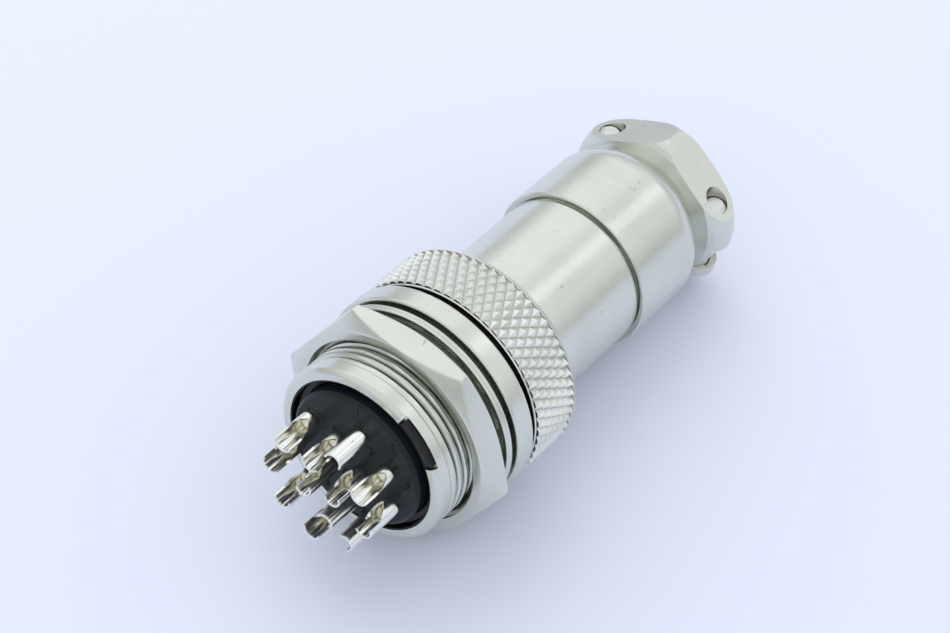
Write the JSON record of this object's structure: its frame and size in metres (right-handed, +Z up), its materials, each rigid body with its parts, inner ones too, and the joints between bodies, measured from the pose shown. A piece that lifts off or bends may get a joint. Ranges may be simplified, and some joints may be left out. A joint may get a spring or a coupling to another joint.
{
  "type": "circular aviation plug connector",
  "caption": "Round metal multi-pin connector: a threaded panel socket with hexagon nut, joined by a knurled ring to a smooth cable plug with a screw-down cable clamp.",
  "frame": {"origin": "on the common axis, at the plane of the receptacle's rear rim, where the panel thread ends", "axes": "+X along the common axis from the solder cups towards the cable, +Z up as the mated pair lies on a table, on a flat of the hexagon nut's side, +Y by the right-hand rule"},
  "size_m": [0.0595, 0.0272, 0.024],
  "materials": {
    "nickel_plate": "bright satin nickel plate over turned and die-cast metal",
    "contact_silver": "silver plate over turned brass",
    "contact_gold": "thin gold plate over turned brass",
    "dark_insulator": "moulded thermoset, dark slate grey, satin",
    "black_plastic": "moulded plastic, glossy black",
    "liner_plastic": "thin extruded plastic tube, off-white",
    "screw_steel": "nickel-plated steel"
  },
  "bodies": {
    "receptacle": {"receptacle_shell": "nickel_plate", "receptacle_insulator": "dark_insulator", "retaining_ring": "black_plastic", "pin_contact_01": "contact_silver", "pin_contact_02": "contact_silver", "pin_contact_03": "contact_silver", "pin_contact_04": "contact_silver", "pin_contact_05": "contact_silver", "pin_contact_06": "contact_silver", "pin_contact_07": "contact_silver", "pin_contact_08": "contact_silver", "pin_contact_09": "contact_silver", "pin_contact_10": "contact_silver", "pin_contact_11": "contact_silver", "pin_contact_12": "contact_silver"},
    "washer": {"panel_washer": "nickel_plate"},
    "hex_nut": {"panel_nut": "nickel_plate"},
    "plug": {"plug_shell": "nickel_plate", "plug_insulator": "dark_insulator", "plug_insulator_ring": "black_plastic", "socket_contact_01": "contact_gold", "socket_contact_02": "contact_gold", "socket_contact_03": "contact_gold", "socket_contact_04": "contact_gold", "socket_contact_05": "contact_gold", "socket_contact_06": "contact_gold", "socket_contact_07": "contact_gold", "socket_contact_08": "contact_gold", "socket_contact_09": "contact_gold", "socket_contact_10": "contact_gold", "socket_contact_11": "contact_gold", "socket_contact_12": "contact_gold"},
    "knurled_nut": {"coupling_nut": "nickel_plate"},
    "liner": {"insulating_liner": "liner_plastic"},
    "rear_shell": {"back_shell": "nickel_plate"},
    "saddle": {"clamp_saddle": "nickel_plate"},
    "screw_1": {"clamp_screw_1": "screw_steel"},
    "screw_2": {"clamp_screw_2": "screw_steel"}
  },
  "joints": [
    {"name": "washer_slide", "type": "slide", "parent": "receptacle", "child": "washer", "axis": [-1, 0, 0], "range_m": [-0.00045, 0.0075]},
    {"name": "panel_nut_spin", "type": "hinge", "parent": "washer", "child": "hex_nut", "pos_m": [0.006, 0, 0], "axis": [-1, 0, 0], "range_deg": [-163, 2701]},
    {"name": "plug_pull", "type": "slide", "parent": "receptacle", "child": "plug", "axis": [1, 0, 0], "range_m": [0, 0.008]},
    {"name": "coupling_nut_spin", "type": "hinge", "parent": "plug", "child": "knurled_nut", "pos_m": [0.017, 0, 0], "axis": [1, 0, 0], "range_deg": [-1, 2881]},
    {"name": "liner_slide", "type": "slide", "parent": "plug", "child": "liner", "axis": [1, 0, 0], "range_m": [0, 0.0045]},
    {"name": "back_shell_spin", "type": "hinge", "parent": "liner", "child": "rear_shell", "pos_m": [0.0433, 0, 0], "axis": [1, 0, 0], "range_deg": [-1, 1621]},
    {"name": "saddle_slide", "type": "slide", "parent": "rear_shell", "child": "saddle", "axis": [0, 0.0785, -0.9969], "range_m": [0, 0.00225]},
    {"name": "clamp_screw_1_spin", "type": "hinge", "parent": "saddle", "child": "screw_1", "pos_m": [0.05033, -0.00698, -0.00055], "axis": [0, 0.0785, -0.9969], "range_deg": [-1, 1801]},
    {"name": "clamp_screw_2_spin", "type": "hinge", "parent": "saddle", "child": "screw_2", "pos_m": [0.05033, 0.00698, 0.00055], "axis": [0, 0.0785, -0.9969], "range_deg": [-1, 1801]}
  ],
  "couplings": [
    {"joint": "panel_nut_spin", "follows": "washer_slide", "rad_per_m": 6283.2},
    {"joint": "coupling_nut_spin", "follows": "plug_pull", "rad_per_m": 6283.2},
    {"joint": "back_shell_spin", "follows": "liner_slide", "rad_per_m": 6283.2},
    {"joint": "clamp_screw_1_spin", "follows": "saddle_slide", "rad_per_m": 13963},
    {"joint": "clamp_screw_2_spin", "follows": "saddle_slide", "rad_per_m": 13963}
  ]
}
